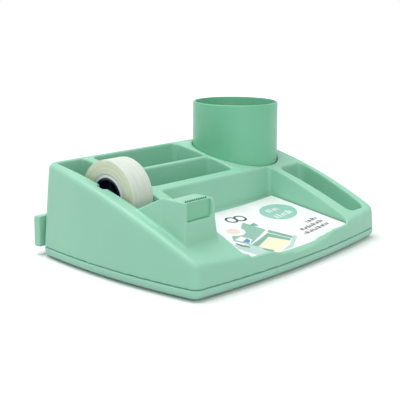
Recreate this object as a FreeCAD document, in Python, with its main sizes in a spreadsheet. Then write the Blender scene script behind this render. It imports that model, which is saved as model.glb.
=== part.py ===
import FreeCAD, Part
import Sketcher
import math
import os

# Tape dispenser organizer with a shallow drawer, in millimetres.
# Frame: +X to the right, -Y is the front, +Z up, origin at the bottom centre.

DIMENSIONS = {
    # plan outline of the body at the parting line
    "half_width": 106.0,        # widest half width of the bowed sides
    "bulge_y": -1.0,             # where along the depth the sides are widest
    "left_bow": 450.0,          # radius of the bowed left side
    "right_bow": 900.0,         # the right side is straighter
    "front_y": -79.0,
    "front_bow": 735.0,        # radius of the bowed front
    "back_y": 71.0,
    "front_corner": 7.0,
    "back_corner": 8.0,
    # draft of the walls, as millimetres lost over the block's height
    "block_top": 70.0,
    "side_draft": 4.4,
    "front_draft": 4.5,
    "back_draft": 1.6,
    # base plate and parting line
    "foot_proud": 1.0,          # feet below the base plate
    "base_top": 7.6,
    "seam_gap": 0.4,
    "base_wall": 2.4,
    "base_floor": 2.2,
    "base_round": 4.8,
    "boss_radius": 4.6,
    "rail_in": 29.0,            # drawer rails inside the tunnel's sides
    "rail_half": 2.0,
    "rail_proud": 0.3,
    # deck: one arc through two heights
    "deck_front_y": -68.0,
    "deck_front_z": 24.6,
    "deck_back_y": 68.0,
    "deck_back_z": 66.3,
    "deck_radius": 415.0,
    "edge_round": 4.0,          # from the deck into the outer walls
    "rim_round": 0.8,           # along the edges of the deck
    # tape bay
    "left_rim": 14.3,           # from the widest side to the bay
    "bay_width": 24.0,
    "bay_front_wall": 6.2,      # behind the tower's face
    "back_rim": 7.5,
    "bay_floor": 21.5,
    # cutter tower
    "tower_wall": 2.0,          # the tower's left wall, beside the bay
    "tower_flare": 5.6,         # how far the root spreads to the right
    "tower_set_back": 21.5,     # from the front of the body
    "tower_top": 57.0,
    "tower_root": 26.0,
    "tower_corner": 4.2,
    "crease": 44.5,             # lower edge of the blade recess
    "plate_depth": 15.0,
    "plate_thick": 2.4,
    "wing_run": 41.5,           # from the tower's face back to the foot of the wing
    "wing_top_run": 20.0,
    "wing_spread": 1.8,         # how far the wing's root leans out
    "recess_depth": 4.4,
    "tower_over": 1.5,          # the tower stands past the bay on the right
    "recess_left_frame": 2.3,
    "recess_right_frame": 3.0,
    # blade and its holder
    "blade_thick": 0.5,
    "blade_rise": 0.2,          # teeth above the tower
    "tooth_pitch": 2.0,
    "tooth_depth": 1.3,
    "holder_thick": 1.6,
    "holder_drop": 0.8,
    "fit_gap": 0.1,
    "thread_gap": 0.05,
    # rear compartments
    "comp_from_bay": 7.7,
    "comp_from_cup": 3.3,
    "comp_floor": 24.0,
    "comp_corner": 4.5,
    "rear_comp_depth": 31.9,
    "divider": 3.6,
    "front_comp_depth": 23.8,
    # note tray
    "note_from_bay": 10.1,
    "note_from_pens": 6.2,
    "note_front_wall": 3.6,
    "note_back_wall": 7.0,
    "note_bow": 2.2,            # the front wall's bow inside the tray
    "note_bow_sunk": 0.5,
    "note_floor_front": 14.4,
    "note_floor_back": 27.0,
    "note_corner": 3.0,
    # front lip and its finger notch
    "lip_left_in": 5.0,
    "lip_right_in": 3.4,
    "lip_z": 18.6,
    "lip_left_run": 4.0,        # the lip climbs to the deck at both ends
    "lip_right_run": 2.4,
    "notch_left_in": 24.6,
    "notch_right_in": 21.2,
    "notch_z": 15.2,
    "notch_left_run": 11.0,     # the notch climbs gently at both ends
    "notch_right_run": 36.0,
    "slant_start": 2.2,         # the notch's outer edge falls away at a slant
    "slant_fall": 0.75,
    "slant_top": 21.5,
    "slant_z": 15.0,
    "slant_knee": 2.2,          # how far the slant's gentle right end has risen
    "slant_left_run": 25.0,
    "slant_right_run": 34.0,
    "slant_knee_run": 10.0,
    # pen channel
    "pen_rim_back": 8.8,        # from the widest side to the channel
    "pen_rim_front": 12.4,
    "pen_width_back": 29.8,
    "pen_width_front": 20.6,
    "pen_from_cup": 5.7,
    "pen_front_wall": 11.5,
    "pen_floor": 12.0,
    "pen_corner": 6.0,
    # pen cup
    "cup_from_side": 43.4,      # from the widest side to the cup's axis
    "cup_from_back": 38.3,
    "cup_radius": 33.3,
    "cup_wall": 2.0,
    "cup_rim": 98.2,
    "cup_gap": 0.35,
    "socket_floor": 22.0,
    # drawer and its tunnel
    "tunnel_half": 84.0,
    "tunnel_front_wall": 1.2,
    "tunnel_top": 19.5,
    "drawer_gap": 0.4,
    "drawer_wall": 1.8,
    "drawer_back_wall": 1.2,
    "face_thick": 7.0,
    "face_low": 6.4,
    "face_top": 28.0,
    "face_half": 101.0,
    "face_round": 2.4,
    "face_stand": 1.0,          # face clear of the body when shut
    "pull_width": 64.0,
    "pull_height": 9.0,
    "pull_depth": 3.0,
    # tape roll and its hub
    "roll_from_back": 54.7,
    "roll_z": 48.5,
    "roll_radius": 24.4,
    "tape_width": 18.0,
    "core_outer": 16.2,
    "core_inner": 12.7,
    "core_gap": 0.05,
    "hub_gap": 0.08,
    "hub_wall": 1.5,
    "hub_web": 1.6,
    "hub_boss": 5.2,
    "axle_radius": 3.0,
    "axle_gap": 0.08,
    "axle_tip": 2.8,            # how far each axle end reaches into its slot
    "slot_gap": 0.3,
    # cavity under the trays
    "cavity_inset": 8.0,
    "cavity_top": 10.2,
    "cavity_from_tunnel": 8.0,
    # feet and screws
    "foot_radius": 6.5,
    "foot_sunk": 0.6,
    "foot_from_side": 24.0,
    "foot_from_front": 23.0,
    "foot_from_back": 13.0,
    "screw_radius": 1.5,
    "screw_head": 3.0,
    "screw_head_high": 1.8,
    "screw_length": 13.0,
    "screw_left_in": 26.0,
    "screw_left_back": 13.0,
    "screw_right_back": 29.0,
    "screw_from_back": 12.0,
    # card in the note tray
    "card_side_gap": 1.4,
    "card_front_gap": 0.8,
    "card_back_gap": 3.4,
    "card_thick": 0.5,
    "card_gap": 0.1,
}


class Size:
    """A length that carries its value and the sheet formula that it comes from."""

    def __init__(self, value, text):
        self.value = value
        self.text = text

    def _join(self, other, sign, value):
        other_text = other.text if isinstance(other, Size) else repr(float(other))
        return Size(value, "(%s %s %s)" % (self.text, sign, other_text))

    def __add__(self, other):
        return self._join(other, "+", self.value + number(other))

    def __sub__(self, other):
        return self._join(other, "-", self.value - number(other))

    def __mul__(self, other):
        return self._join(other, "*", self.value * number(other))

    def __truediv__(self, other):
        return self._join(other, "/", self.value / number(other))

    def __neg__(self):
        return Size(-self.value, "(0 - %s)" % self.text)


def number(size):
    return size.value if isinstance(size, Size) else float(size)


def root(size):
    return Size(math.sqrt(size.value), "sqrt(%s)" % size.text)


PLACES = {}


def dim(name):
    """A driving dimension, or a place that was worked out from them."""
    return PLACES[name] if name in PLACES else Size(DIMENSIONS[name], "dims." + name)


def work_out_places():
    """Every piece keeps its distance from the wall or the piece that it belongs to."""
    place = PLACES.__setitem__
    side, front, back = dim("half_width"), dim("front_y"), dim("back_y")
    place("housing_low", dim("base_top") + dim("seam_gap"))
    place("sky", dim("block_top") + 10)
    place("bay_left", dim("left_rim") - side)
    place("bay_right", dim("bay_left") + dim("bay_width"))
    place("bay_back", back - dim("back_rim"))
    place("tower_front", front + dim("tower_set_back"))
    place("tower_back", dim("tower_front") + dim("plate_depth"))
    place("bay_front", dim("tower_front") + dim("bay_front_wall"))
    place("tower_left", dim("bay_left") - dim("tower_wall"))
    place("tower_right", dim("bay_right") + dim("tower_over"))
    place("tower_foot", dim("bay_right") + dim("tower_flare"))
    place("wing_back", dim("tower_front") + dim("wing_run"))
    place("wing_top_back", dim("tower_front") + dim("wing_top_run"))
    place("recess_left", dim("tower_left") + dim("recess_left_frame"))
    place("recess_right", dim("tower_right") - dim("recess_right_frame"))
    place("cup_x", side - dim("cup_from_side"))
    place("cup_y", back - dim("cup_from_back"))
    place("comp_left", dim("bay_right") + dim("comp_from_bay"))
    place("comp_right", dim("cup_x") - dim("cup_radius") - dim("comp_from_cup"))
    place("rear_comp_back", dim("bay_back"))
    place("rear_comp_front", dim("rear_comp_back") - dim("rear_comp_depth"))
    place("front_comp_back", dim("rear_comp_front") - dim("divider"))
    place("front_comp_front", dim("front_comp_back") - dim("front_comp_depth"))
    place("pen_right_back", side - dim("pen_rim_back"))
    place("pen_right_front", side - dim("pen_rim_front"))
    place("pen_left_back", dim("pen_right_back") - dim("pen_width_back"))
    place("pen_left_front", dim("pen_right_front") - dim("pen_width_front"))
    place("pen_front", front + dim("pen_front_wall"))
    place("pen_back", dim("cup_y") - dim("cup_radius") - dim("pen_from_cup"))
    place("note_left", dim("bay_right") + dim("note_from_bay"))
    place("note_right", dim("pen_left_back") - dim("note_from_pens"))
    place("note_front", front + dim("note_front_wall") + dim("note_bow"))
    place("note_back", dim("front_comp_front") - dim("note_back_wall"))
    place("lip_left", dim("note_left") + dim("lip_left_in"))
    place("lip_right", dim("note_right") - dim("lip_right_in"))
    place("notch_left", dim("note_left") + dim("notch_left_in"))
    place("notch_right", dim("note_right") - dim("notch_right_in"))
    place("tunnel_front", dim("note_back") - dim("tunnel_front_wall"))
    place("cavity_back", dim("tunnel_front") - dim("cavity_from_tunnel"))
    place("rail_x", dim("tunnel_half") - dim("rail_in"))
    place("roll_y", back - dim("roll_from_back"))
    place("foot_x", side - dim("foot_from_side"))
    place("foot_front_y", front + dim("foot_from_front"))
    place("foot_back_y", back - dim("foot_from_back"))
    place("screw_left_x", dim("screw_left_in") - side)
    place("screw_left_y", front + dim("screw_left_back"))
    place("screw_right_x", (dim("note_right") + dim("pen_left_front")) / 2)
    place("screw_right_y", front + dim("screw_right_back"))
    place("screw_rear_x", (dim("tunnel_half") + side - 3) / 2)
    place("screw_rear_y", back - dim("screw_from_back"))


work_out_places()

doc = FreeCAD.newDocument("organizer")
sheet = doc.addObject("Spreadsheet::Sheet", "dims")
for row, (alias, amount) in enumerate(DIMENSIONS.items(), start=1):
    sheet.set("A%d" % row, alias)
    sheet.set("B%d" % row, str(amount))
    sheet.setAlias("B%d" % row, alias)
doc.recompute()


# ---------------------------------------------------------------- drawing tools

PLANES = {"top": "XY_Plane", "front": "XZ_Plane", "side": "YZ_Plane"}


def bind(thing, prop, size):
    if isinstance(size, Size):
        thing.setExpression(prop, size.text)
    else:
        setattr(thing, prop, float(size))


def new_body(label):
    body = doc.addObject("PartDesign::Body", "Body_" + label)
    body.Label = label
    return body


def new_sketch(body, plane, offset=0.0):
    """A sketch on one of the body's own planes, moved along that plane's normal."""
    sketch = body.newObject("Sketcher::SketchObject", "Sketch")
    role = PLANES[plane]
    sketch.AttachmentSupport = [(item, "") for item in body.Origin.OriginFeatures if item.Role == role]
    sketch.MapMode = "FlatFace"
    sketch.AttachmentOffset = FreeCAD.Placement(FreeCAD.Vector(0, 0, number(offset)), FreeCAD.Rotation())
    if isinstance(offset, Size):
        sketch.setExpression("AttachmentOffset.Base.z", offset.text)
    return sketch


def pin_point(sketch, geo, end, point):
    """Hold one end of an edge at two bound distances from the origin."""
    for kind, value in zip(("DistanceX", "DistanceY"), point):
        index = sketch.addConstraint(Sketcher.Constraint(kind, -1, 1, geo, end, number(value)))
        if isinstance(value, Size):
            sketch.setExpression("Constraints[%d]" % index, value.text)


def arc_between(centre, radius, start, stop):
    """An arc about centre, anticlockwise, aimed at two points that it need not reach exactly."""
    angles = [math.atan2(y - centre[1], x - centre[0]) for x, y in (start, stop)]
    circle = Part.Circle(FreeCAD.Vector(centre[0], centre[1], 0), FreeCAD.Vector(0, 0, 1), radius)
    end = angles[1] if angles[1] > angles[0] else angles[1] + 2 * math.pi
    return Part.ArcOfCircle(circle, angles[0], end)


def draw_outline(sketch, points, bows=None):
    """A closed outline through the points. bows gives an edge a radius, and +1 to bulge to the left of
    its way or -1 to the right."""
    bows = bows or {}
    count = len(points)
    flat = [FreeCAD.Vector(number(x), number(y), 0) for x, y in points]
    ends = []
    for index in range(count):
        start, stop = flat[index], flat[(index + 1) % count]
        if index in bows:
            radius, side = bows[index]
            chord = stop - start
            inward = FreeCAD.Vector(chord.y, -chord.x, 0).normalize() * side
            depth = math.sqrt(max(number(radius) ** 2 - (chord.Length / 2) ** 2, 0.0))
            centre = (start + stop) * 0.5 + inward * depth
            first, last = (stop, start) if side > 0 else (start, stop)
            arc = arc_between((centre.x, centre.y), number(radius), (first.x, first.y), (last.x, last.y))
            geo = sketch.addGeometry(arc, False)
            ends.append((geo, 2, 1) if side > 0 else (geo, 1, 2))
        else:
            ends.append((sketch.addGeometry(Part.LineSegment(start, stop), False), 1, 2))
    for index in range(count):
        geo, first, last = ends[index]
        following, next_first, _ = ends[(index + 1) % count]
        sketch.addConstraint(Sketcher.Constraint("Coincident", geo, last, following, next_first))
    for index in range(count):
        geo, first, _ = ends[index]
        pin_point(sketch, geo, first, points[index])
    for index, (radius, _) in bows.items():
        found = sketch.addConstraint(Sketcher.Constraint("Radius", ends[index][0], number(radius)))
        if isinstance(radius, Size):
            sketch.setExpression("Constraints[%d]" % found, radius.text)
    return sketch


def draw_box(sketch, left, low, right, high):
    return draw_outline(sketch, [(left, low), (right, low), (right, high), (left, high)])


def draw_circle(sketch, centre, radius):
    x, y = centre
    circle = Part.Circle(FreeCAD.Vector(number(x), number(y), 0), FreeCAD.Vector(0, 0, 1), number(radius))
    geo = sketch.addGeometry(circle, False)
    found = sketch.addConstraint(Sketcher.Constraint("Radius", geo, number(radius)))
    if isinstance(radius, Size):
        sketch.setExpression("Constraints[%d]" % found, radius.text)
    pin_point(sketch, geo, 3, centre)
    return sketch


def pad(body, sketch, length, reverse=False):
    feature = body.newObject("PartDesign::Pad", "Pad")
    feature.Profile = sketch
    bind(feature, "Length", length)
    feature.Reversed = reverse
    doc.recompute()
    return feature


def pocket(body, sketch, length, reverse=False, both=False):
    """Cut along the sketch normal, and stop if the cut met nothing."""
    before = body.Shape.Volume
    feature = body.newObject("PartDesign::Pocket", "Pocket")
    feature.Profile = sketch
    bind(feature, "Length", length)
    feature.Reversed = reverse
    if both:
        feature.SideType = "Symmetric"
    doc.recompute()
    if feature.Shape.isNull() or not body.Shape.Volume < before - 1e-3:
        raise RuntimeError("a pocket of %s cut nothing" % body.Label)
    return feature


def fillet(body, radius, wanted):
    """Round every edge of the body's shape that the test picks."""
    names = ["Edge%d" % (index + 1) for index, edge in enumerate(body.Shape.Edges) if wanted(edge)]
    if not names:
        raise RuntimeError("no edge to round on %s" % body.Label)
    solid = body.Tip
    feature = body.newObject("PartDesign::Fillet", "Fillet")
    feature.Base = (solid, names)
    bind(feature, "Radius", radius)
    doc.recompute()
    if feature.Shape.isNull() or not feature.Shape.isValid():
        raise RuntimeError("a rounding of %s failed" % body.Label)
    return feature


def is_upright(edge, slack=0.12):
    ends = [vertex.Point for vertex in edge.Vertexes]
    if len(ends) < 2:
        return False
    run = ends[1] - ends[0]
    return run.Length > 2 and math.hypot(run.x, run.y) < slack * abs(run.z)


def near(edge, x=None, y=None, z=None, slack=1.0):
    point = edge.CenterOfMass
    pairs = ((x, point.x), (y, point.y), (z, point.z))
    return all(want is None or abs(number(want) - got) < slack for want, got in pairs)


# ---------------------------------------------------------------- shared shapes

def meeting(centre_a, reach_a, centre_b, reach_b, side):
    """Where two circles cross, on the given side of the line from a to b."""
    ax, ay = centre_a
    bx, by = centre_b
    apart = math.hypot(bx - ax, by - ay)
    along = (reach_a ** 2 - reach_b ** 2 + apart ** 2) / (2 * apart)
    off = side * math.sqrt(reach_a ** 2 - along ** 2)
    ux, uy = (bx - ax) / apart, (by - ay) / apart
    return ax + along * ux - off * uy, ay + along * uy + off * ux


def outline(sketch, lose_side=0.0, lose_front=0.0, lose_back=0.0):
    """The plan outline, anticlockwise: bowed front and sides, straight back, round corners."""
    half, front, back = dim("half_width") - lose_side, dim("front_y") + lose_front, dim("back_y") - lose_back
    front_bow, right_bow, left_bow = dim("front_bow"), dim("right_bow"), dim("left_bow")
    near_round, far_round = dim("front_corner"), dim("back_corner")
    front_centre = (0.0, number(front + front_bow))

    def touch(centre, corner, radius):
        """Where the corner circle touches the bigger circle about centre."""
        run_x, run_y = corner[0] - centre[0], corner[1] - centre[1]
        scale = number(radius) / math.hypot(run_x, run_y)
        return corner[0] + run_x * scale, corner[1] + run_y * scale

    def side_points(bow, sign):
        """Centres of a side and of its two corners, then the four points where they touch."""
        middle = (number(half - bow), number(dim("bulge_y")))
        near_corner = meeting(front_centre, number(front_bow - near_round),
                              middle, number(bow - near_round), 1)
        far_y = number(back - far_round)
        far_x = middle[0] + math.sqrt(number(bow - far_round) ** 2 - (far_y - middle[1]) ** 2)
        found = (middle, near_corner, (far_x, far_y), touch(front_centre, near_corner, near_round),
                 touch(middle, near_corner, near_round), touch(middle, (far_x, far_y), far_round),
                 (far_x, number(back)))
        return [(sign * x, y) for x, y in found]

    right, near_right, far_right, front_r, side_r, shoulder_r, back_r = side_points(right_bow, 1)
    left, near_left, far_left, front_l, side_l, shoulder_l, back_l = side_points(left_bow, -1)
    edges = [
        arc_between(front_centre, number(front_bow), front_l, front_r),
        arc_between(near_right, number(near_round), front_r, side_r),
        arc_between(right, number(right_bow), side_r, shoulder_r),
        arc_between(far_right, number(far_round), shoulder_r, back_r),
        Part.LineSegment(FreeCAD.Vector(*back_r, 0), FreeCAD.Vector(*back_l, 0)),
        arc_between(far_left, number(far_round), back_l, shoulder_l),
        arc_between(left, number(left_bow), shoulder_l, side_l),
        arc_between(near_left, number(near_round), side_l, front_l),
    ]
    for edge in edges:
        sketch.addGeometry(edge, False)
    for index in range(8):
        sketch.addConstraint(Sketcher.Constraint("Tangent", index, 2, (index + 1) % 8, 1))

    def hold(size, *arguments):
        found = sketch.addConstraint(Sketcher.Constraint(*arguments, number(size)))
        if isinstance(size, Size):
            sketch.setExpression("Constraints[%d]" % found, size.text)

    for index, radius in ((0, front_bow), (1, near_round), (2, right_bow), (3, far_round), (5, far_round),
                          (6, left_bow), (7, near_round)):
        hold(radius, "Radius", index)
    sketch.addConstraint(Sketcher.Constraint("PointOnObject", 0, 3, -2))
    hold(front + front_bow, "DistanceY", -1, 1, 0, 3)
    hold(half - right_bow, "DistanceX", -1, 1, 2, 3)
    hold(left_bow - half, "DistanceX", -1, 1, 6, 3)
    for index in (2, 6):
        hold(dim("bulge_y"), "DistanceY", -1, 1, index, 3)
    hold(back, "DistanceY", -1, 1, 4, 1)
    return sketch


def deck_centre():
    """Centre of the deck's arc in the YZ plane, from its two end heights and its radius."""
    y1, z1 = dim("deck_front_y"), dim("deck_front_z")
    y2, z2 = dim("deck_back_y"), dim("deck_back_z")
    run, rise = y2 - y1, z2 - z1
    chord = root(run * run + rise * rise)
    drop = root(dim("deck_radius") * dim("deck_radius") - chord * chord / 4)
    return (y1 + y2) / 2 + rise / chord * drop, (z1 + z2) / 2 - run / chord * drop


def deck_height(y):
    """Height of the deck at a depth y."""
    centre_y, centre_z = deck_centre()
    radius = dim("deck_radius")
    return centre_z + root(radius * radius - (y - centre_y) * (y - centre_y))


def upright_round(body, radius, x, y, slack=2.0):
    fillet(body, radius, lambda edge: is_upright(edge, 0.2) and near(edge, x, y, None, slack))


# ---------------------------------------------------------------- housing

def housing_block(body):
    low = outline(new_sketch(body, "top", dim("housing_low")))
    high = outline(new_sketch(body, "top", dim("block_top")), dim("side_draft"), dim("front_draft"),
                   dim("back_draft"))
    loft = body.newObject("PartDesign::AdditiveLoft", "Block")
    loft.Profile = low
    loft.Sections = [high]
    loft.Ruled = True
    doc.recompute()


def housing_deck(body):
    """Take away everything above the deck's arc, and round the deck into the outer walls."""
    ahead, behind, sky = dim("front_y") - 10, dim("back_y") + 10, dim("sky")
    points = [(ahead, deck_height(ahead)), (behind, deck_height(behind)), (behind, sky), (ahead, sky)]
    sketch = draw_outline(new_sketch(body, "side"), points, {0: (dim("deck_radius"), 1)})
    pocket(body, sketch, dim("half_width") * 2 + 20, both=True)
    deck = deck_face(body)
    fillet(body, dim("edge_round"), lambda edge: any(edge.isSame(rim) for rim in deck.Edges))


def deck_face(body):
    bend = number(dim("deck_radius"))
    return next(face for face in body.Shape.Faces
                if hasattr(face.Surface, "Radius") and abs(face.Surface.Radius - bend) < 0.5)


def cutter_tower(body):
    """The front block of the tower and the thin leaning wing that climbs to it from the left rim."""
    left, right, foot = dim("tower_left"), dim("tower_right"), dim("tower_foot")
    low, high, crease, corner = dim("tower_root"), dim("tower_top"), dim("crease"), dim("tower_corner")
    front, top_back, back = dim("tower_front"), dim("wing_top_back"), dim("wing_back")
    sketch = draw_outline(new_sketch(body, "front", -front),
                          [(left, low), (foot, low), (right, crease), (right, high - corner),
                           (right - corner, high), (left, high)], {3: (corner, -1)})
    pad(body, sketch, dim("plate_depth"), reverse=True)
    wall = draw_box(new_sketch(body, "front", -front), left, low, dim("bay_left"), high)
    pad(body, wall, top_back - front, reverse=True)
    wing = draw_outline(new_sketch(body, "front", -top_back),
                        [(left - dim("wing_spread"), low), (dim("bay_left"), low), (dim("bay_left"), high),
                         (left, high)])
    pad(body, wing, back - top_back, reverse=True)
    above = draw_outline(new_sketch(body, "side", left - dim("wing_spread") * 2),
                         [(top_back, high), (back, deck_height(back)), (back, dim("sky")),
                          (top_back, dim("sky"))])
    pocket(body, above, dim("bay_left") - left + dim("wing_spread") * 2, reverse=True)


def tape_bay(body):
    """The deep bay of the roll, which runs on below the tower's top plate, and the blade's recess."""
    floor, back = dim("bay_floor"), dim("tower_back")
    left, right = dim("bay_left"), dim("bay_right")
    sketch = draw_box(new_sketch(body, "top", floor), left, back, right, dim("bay_back"))
    pocket(body, sketch, dim("sky") - floor, reverse=True)
    sketch = draw_box(new_sketch(body, "top", floor), left, dim("bay_front"), right, back + 0.5)
    pocket(body, sketch, dim("tower_top") - dim("plate_thick") - floor, reverse=True)
    recess = draw_box(new_sketch(body, "front", -dim("tower_front")), dim("recess_left"), dim("crease"),
                      dim("recess_right"), dim("tower_top") + 5)
    pocket(body, recess, dim("recess_depth"))


def axle_slots(body):
    """A slot in each bay wall, round where the axle lies and open up to the deck."""
    half = dim("axle_radius") + dim("slot_gap")
    reach = dim("axle_tip") + dim("slot_gap")
    y, z = dim("roll_y"), dim("roll_z")
    for start, reverse in ((dim("bay_left"), False), (dim("bay_right"), True)):
        pocket(body, draw_circle(new_sketch(body, "side", start), (y, z), half), reach, reverse=reverse)
        sketch = draw_box(new_sketch(body, "side", start), y - half, z, y + half, dim("sky"))
        pocket(body, sketch, reach, reverse=reverse)


def compartments(body):
    rows = (("front_comp_front", "front_comp_back"), ("rear_comp_front", "rear_comp_back"))
    for front, back in rows:
        sketch = draw_box(new_sketch(body, "top", dim("comp_floor")), dim("comp_left"), dim(front),
                          dim("comp_right"), dim(back))
        pocket(body, sketch, dim("sky") - dim("comp_floor"), reverse=True)
        for x in ("comp_left", "comp_right"):
            for y in (front, back):
                upright_round(body, dim("comp_corner"), dim(x), dim(y))


def note_tray(body):
    front, back = dim("note_front"), dim("note_back")
    points = [(front, dim("note_floor_front")), (back, dim("note_floor_back")), (back, dim("sky")),
              (front, dim("sky"))]
    sketch = draw_outline(new_sketch(body, "side", dim("note_left")), points)
    pocket(body, sketch, dim("note_right") - dim("note_left"), reverse=True)
    for x in ("note_left", "note_right"):
        for y in (front, back):
            upright_round(body, dim("note_corner"), dim(x), y)
    left, right, corner = dim("note_left"), dim("note_right"), dim("note_corner")
    round_rims(body, lambda point: number(front) - 1 < point.y < number(back) + 1
               and number(left) - 1 < point.x < number(right) + 1)
    floor = dim("note_floor_front") - dim("note_bow_sunk")
    bow = draw_outline(new_sketch(body, "top", floor), [(left + corner, front), (right - corner, front)],
                       {0: (dim("front_bow"), -1)})
    pocket(body, bow, dim("sky") - floor, reverse=True)


def front_lip(body):
    """The low front wall of the note tray, with the wide finger notch in it."""
    low, lip = dim("notch_z"), dim("lip_z")
    left_run, right_run = dim("lip_left_run"), dim("lip_right_run")
    rise = dim("deck_front_z") - lip
    high = dim("deck_front_z") + 6
    left, right = dim("lip_left"), dim("lip_right")
    points = [(left - left_run * 2, high), (left - left_run, lip + rise), (left, lip),
              (dim("notch_left"), lip), (dim("notch_left") + dim("notch_left_run"), low),
              (dim("notch_right") - dim("notch_right_run"), low), (dim("notch_right"), lip),
              (right, lip), (right + right_run, lip + rise), (right + right_run * 2, high)]
    sketch = draw_outline(new_sketch(body, "front", -dim("note_front") - 4), points)
    pocket(body, sketch, 18, reverse=True)


def notch_slant(body):
    """The notch's outer edge, cut away at a slant that fades out towards both ends of the notch."""
    top, low = dim("slant_top"), dim("slant_z")
    left, right = dim("notch_left") - 1, dim("notch_right")
    points = [(left, top), (left + dim("slant_left_run"), low), (right - dim("slant_right_run"), low),
              (right - dim("slant_knee_run"), low + dim("slant_knee")), (right, top)]
    sketch = draw_outline(new_sketch(body, "front", dim("slant_start") - dim("note_front")), points)
    cut = pocket(body, sketch, 8)
    cut.UseCustomVector = True
    cut.Direction = FreeCAD.Vector(0, -1, -number(dim("slant_fall")))


def pen_channel(body):
    points = [(dim("pen_left_front"), dim("pen_front")), (dim("pen_right_front"), dim("pen_front")),
              (dim("pen_right_back"), dim("pen_back")), (dim("pen_left_back"), dim("pen_back"))]
    sketch = draw_outline(new_sketch(body, "top", dim("pen_floor")), points, {1: (dim("right_bow"), -1)})
    pocket(body, sketch, dim("sky") - dim("pen_floor"), reverse=True)
    for x, y in points:
        upright_round(body, dim("pen_corner"), x, y)


def cup_socket(body):
    sketch = draw_circle(new_sketch(body, "top", dim("socket_floor")), (dim("cup_x"), dim("cup_y")),
                         dim("cup_radius") + dim("cup_gap"))
    pocket(body, sketch, dim("sky") - dim("socket_floor"), reverse=True)


def underside(body):
    """The drawer's tunnel, open at the back, the front cavity and the four screw holes."""
    half = dim("tunnel_half")
    sketch = draw_box(new_sketch(body, "top", dim("housing_low")), -half, dim("tunnel_front"), half,
                      dim("back_y") + 5)
    pocket(body, sketch, dim("tunnel_top") - dim("housing_low"), reverse=True)
    inset = dim("cavity_inset")
    sketch = outline(new_sketch(body, "top", dim("housing_low")), inset, inset,
                     dim("back_y") - dim("cavity_back"))
    pocket(body, sketch, dim("cavity_top") - dim("housing_low"), reverse=True)
    sketch = new_sketch(body, "top", dim("housing_low"))
    for x, y in screw_places()[:2]:
        draw_circle(sketch, (x, y), dim("boss_radius"))
    pad(body, sketch, dim("cavity_top") - dim("housing_low") + 0.2)
    for x, y in screw_places():
        sketch = draw_circle(new_sketch(body, "top", dim("housing_low")), (x, y),
                             dim("screw_radius") + dim("thread_gap"))
        pocket(body, sketch, dim("screw_length"), reverse=True)


def turns(shape, edge):
    """Whether the two faces at an edge meet at an angle and do not run smoothly into one another."""
    point = edge.valueAt((edge.FirstParameter + edge.LastParameter) / 2)
    faces = shape.ancestorsOfType(edge, Part.Face)
    normals = [face.normalAt(*face.Surface.parameter(point)) for face in faces]
    return normals[0].getAngle(normals[-1]) > 0.3


def round_rims(body, wanted):
    """Round the deck's edges with its openings where the test picks their middle."""
    deck, shape = deck_face(body), body.Shape
    fillet(body, dim("rim_round"), lambda edge: wanted(edge.CenterOfMass) and turns(shape, edge)
           and any(edge.isSame(rim) for rim in deck.Edges))


def soften_rims(body):
    """Round the deck's other openings, clear of the tower and of the lip."""
    wing_back, tower_right = number(dim("wing_back")), number(dim("tower_foot"))
    left, right, front = number(dim("note_left")), number(dim("note_right")), number(dim("note_front"))

    def wanted(point):
        beside_tower = point.y < wing_back + 0.5 and point.x < tower_right + 1
        on_lip = point.y < front + 5 and left - 1 < point.x < right + 1
        return not beside_tower and not on_lip

    round_rims(body, wanted)


def top_housing():
    body = new_body("top_housing")
    housing_block(body)
    housing_deck(body)
    cutter_tower(body)
    tape_bay(body)
    axle_slots(body)
    compartments(body)
    note_tray(body)
    front_lip(body)
    notch_slant(body)
    pen_channel(body)
    cup_socket(body)
    underside(body)
    soften_rims(body)
    return body


# ---------------------------------------------------------------- base

def screw_places():
    rear_x, rear_y = dim("screw_rear_x"), dim("screw_rear_y")
    return [(dim("screw_left_x"), dim("screw_left_y")), (dim("screw_right_x"), dim("screw_right_y")),
            (-rear_x, rear_y), (rear_x, rear_y)]


def foot_places():
    x = dim("foot_x")
    return {"foot_front_left": (-x, dim("foot_front_y")), "foot_front_right": (x, dim("foot_front_y")),
            "foot_rear_left": (-x, dim("foot_back_y")), "foot_rear_right": (x, dim("foot_back_y"))}


def base_plate():
    """The shallow shell under the parting line: round underneath, with rails for the drawer."""
    body = new_body("base_plate")
    bottom = dim("foot_proud")
    pad(body, outline(new_sketch(body, "top", bottom)), dim("base_top") - bottom)
    fillet(body, dim("base_round"), lambda edge: abs(edge.CenterOfMass.z - number(bottom)) < 0.01)
    floor = bottom + dim("base_floor")
    inset = dim("base_wall") + dim("base_round")
    hollow = outline(new_sketch(body, "top", floor), inset, inset, inset)
    pocket(body, hollow, dim("base_top"), reverse=True)
    boss = new_sketch(body, "top", floor)
    for x, y in screw_places():
        draw_circle(boss, (x, y), dim("boss_radius"))
    pad(body, boss, dim("housing_low") - floor)
    rail_top = dim("housing_low") + dim("rail_proud")
    front, back = dim("tunnel_front"), dim("back_y") - inset
    for middle in (-dim("rail_x"), dim("rail_x")):
        rail = draw_box(new_sketch(body, "top", floor), middle - dim("rail_half"), front,
                        middle + dim("rail_half"), back)
        pad(body, rail, rail_top - floor)
    for x, y in screw_places():
        shank = draw_circle(new_sketch(body, "top", bottom), (x, y),
                            dim("screw_radius") + dim("thread_gap"))
        pocket(body, shank, dim("housing_low"), reverse=True)
        seat = draw_circle(new_sketch(body, "top", bottom), (x, y), dim("screw_head") + dim("fit_gap"))
        pocket(body, seat, dim("screw_head_high") + dim("fit_gap"), reverse=True)
    for x, y in foot_places().values():
        seat = draw_circle(new_sketch(body, "top", bottom), (x, y), dim("foot_radius") + dim("fit_gap"))
        pocket(body, seat, dim("foot_sunk"), reverse=True)
    return body


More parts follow.
